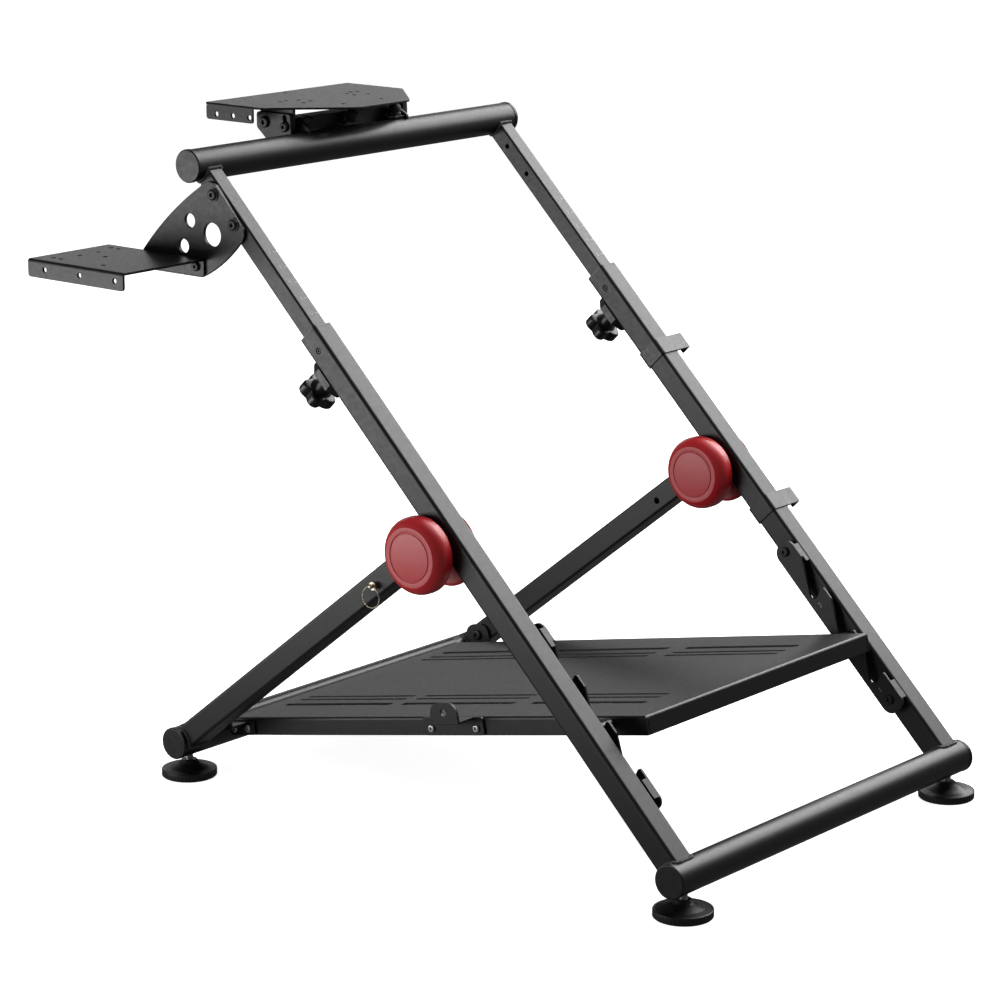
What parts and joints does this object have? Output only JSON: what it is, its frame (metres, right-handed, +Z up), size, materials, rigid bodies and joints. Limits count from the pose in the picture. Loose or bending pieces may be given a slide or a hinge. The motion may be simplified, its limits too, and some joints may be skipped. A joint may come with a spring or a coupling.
{
  "type": "folding racing wheel stand",
  "caption": "Folding steel stand with a tilting steering wheel plate, side gear shifter plate, telescoping uprights, slotted pedal deck, round hinge covers and levelling feet.",
  "frame": {"origin": "bottom centre of the bounding box, on the floor", "axes": "+X to the driver's right, +Y away from the driver, +Z up"},
  "size_m": [0.709, 0.8826, 0.8015],
  "materials": {
    "black_powder_coat": "satin powder coat, fine grain",
    "black_plastic": "matte moulded",
    "foot_plastic": "matte moulded, fine texture",
    "red_plastic": "semi-gloss moulded",
    "zinc_steel": "zinc plated",
    "black_fastener": "black oxide",
    "bumper_rubber": "matte"
  },
  "bodies": {
    "main_frame": {"front_crossbar": "black_powder_coat", "front_crossbar_caps": "black_plastic", "front_foot_nuts": "zinc_steel", "sleeve_tube_left": "black_powder_coat", "sleeve_tube_right": "black_powder_coat", "hinge_lugs": "black_powder_coat", "sleeve_bushes": "black_plastic", "knob_bosses": "black_plastic", "notched_rack_left": "black_powder_coat", "notched_rack_right": "black_powder_coat", "rack_bolts_and_spacers": "black_fastener", "cable_clips": "black_plastic"},
    "legs": {"leg_tube_left": "black_powder_coat", "leg_tube_right": "black_powder_coat", "rear_crossbar": "black_powder_coat", "rear_crossbar_caps": "black_plastic", "rear_foot_nuts": "zinc_steel", "hinge_cheeks": "black_powder_coat", "hinge_bolts": "black_fastener", "hinge_cover_outer_left": "red_plastic", "hinge_cover_outer_right": "red_plastic", "hinge_cover_inner_left": "red_plastic", "hinge_cover_inner_right": "red_plastic", "deck_pivot_bolts": "black_fastener"},
    "deck": {"pedal_deck": "black_powder_coat", "deck_cross_rod": "black_powder_coat", "deck_hinge_bracket_left": "black_powder_coat", "deck_hinge_bracket_right": "black_powder_coat", "lock_tab_bracket": "black_powder_coat", "deck_bracket_screws": "zinc_steel"},
    "mast": {"inner_tube_left": "black_powder_coat", "inner_tube_right": "black_powder_coat", "top_crossbar": "black_powder_coat", "top_crossbar_caps": "black_plastic", "shifter_bracket": "black_powder_coat", "shifter_plate": "black_powder_coat", "shifter_bolts": "black_fastener", "wheel_bracket_cheeks": "black_powder_coat", "wheel_bracket_saddle": "black_powder_coat", "plate_bumpers": "bumper_rubber", "tilt_pivot_bolts": "black_fastener"},
    "wheel_deck": {"wheel_plate": "black_powder_coat", "tilt_ears": "black_powder_coat", "tilt_lock_bolts": "black_fastener"},
    "knob_left": {"height_knob_left": "black_plastic", "height_knob_stud_left": "zinc_steel"},
    "knob_right": {"height_knob_right": "black_plastic", "height_knob_stud_right": "zinc_steel"},
    "lock_pin": {"lock_pin": "zinc_steel"},
    "lock_ring": {"lock_pin_ring": "zinc_steel"},
    "front_foot_left": {"front_foot_pad_left": "foot_plastic", "front_foot_stud_left": "zinc_steel"},
    "front_foot_right": {"front_foot_pad_right": "foot_plastic", "front_foot_stud_right": "zinc_steel"},
    "rear_foot_left": {"rear_foot_pad_left": "foot_plastic", "rear_foot_stud_left": "zinc_steel"},
    "rear_foot_right": {"rear_foot_pad_right": "foot_plastic", "rear_foot_stud_right": "zinc_steel"}
  },
  "joints": [
    {"name": "leg_fold", "type": "hinge", "parent": "main_frame", "child": "legs", "pos_m": [0, 0.05556, 0.34956], "axis": [1, 0, 0], "range_deg": [0, 90]},
    {"name": "deck_fold", "type": "hinge", "parent": "legs", "child": "deck", "pos_m": [0, -0.31012, 0.07271], "axis": [1, 0, 0], "range_deg": [0, 26]},
    {"name": "height_slide", "type": "slide", "parent": "main_frame", "child": "mast", "axis": [0, -0.7071, 0.7071], "range_m": [-0.112, 0.1]},
    {"name": "wheel_plate_tilt", "type": "hinge", "parent": "mast", "child": "wheel_deck", "pos_m": [0, -0.3493, 0.7815], "axis": [1, 0, 0], "range_deg": [0, 20]},
    {"name": "height_knob_left_turn", "type": "hinge", "parent": "main_frame", "child": "knob_left", "pos_m": [-0.3165, -0.11556, 0.51219], "axis": [0, -0.7071, -0.7071], "range_deg": [0, 720]},
    {"name": "height_knob_right_turn", "type": "hinge", "parent": "main_frame", "child": "knob_right", "pos_m": [0.2075, -0.11556, 0.51219], "axis": [0, -0.7071, -0.7071], "range_deg": [0, 720]},
    {"name": "lock_pin_pull", "type": "slide", "parent": "legs", "child": "lock_pin", "axis": [1, 0, 0], "range_m": [-0.0045, 0.03]},
    {"name": "lock_ring_swing", "type": "hinge", "parent": "lock_pin", "child": "lock_ring", "pos_m": [0.2336, -0.01921, 0.29972], "axis": [0, -1, 0], "range_deg": [-5, 90]},
    {"name": "front_foot_left_level", "type": "slide", "parent": "main_frame", "child": "front_foot_left", "axis": [0, 0, -1], "range_m": [0, 0.012]},
    {"name": "front_foot_right_level", "type": "slide", "parent": "main_frame", "child": "front_foot_right", "axis": [0, 0, -1], "range_m": [0, 0.012]},
    {"name": "rear_foot_left_level", "type": "slide", "parent": "legs", "child": "rear_foot_left", "axis": [0, 0, -1], "range_m": [0, 0.012]},
    {"name": "rear_foot_right_level", "type": "slide", "parent": "legs", "child": "rear_foot_right", "axis": [0, 0, -1], "range_m": [0, 0.012]}
  ],
  "couplings": [
    {"joint": "deck_fold", "follows": "leg_fold", "ratio": 0.28111}
  ]
}
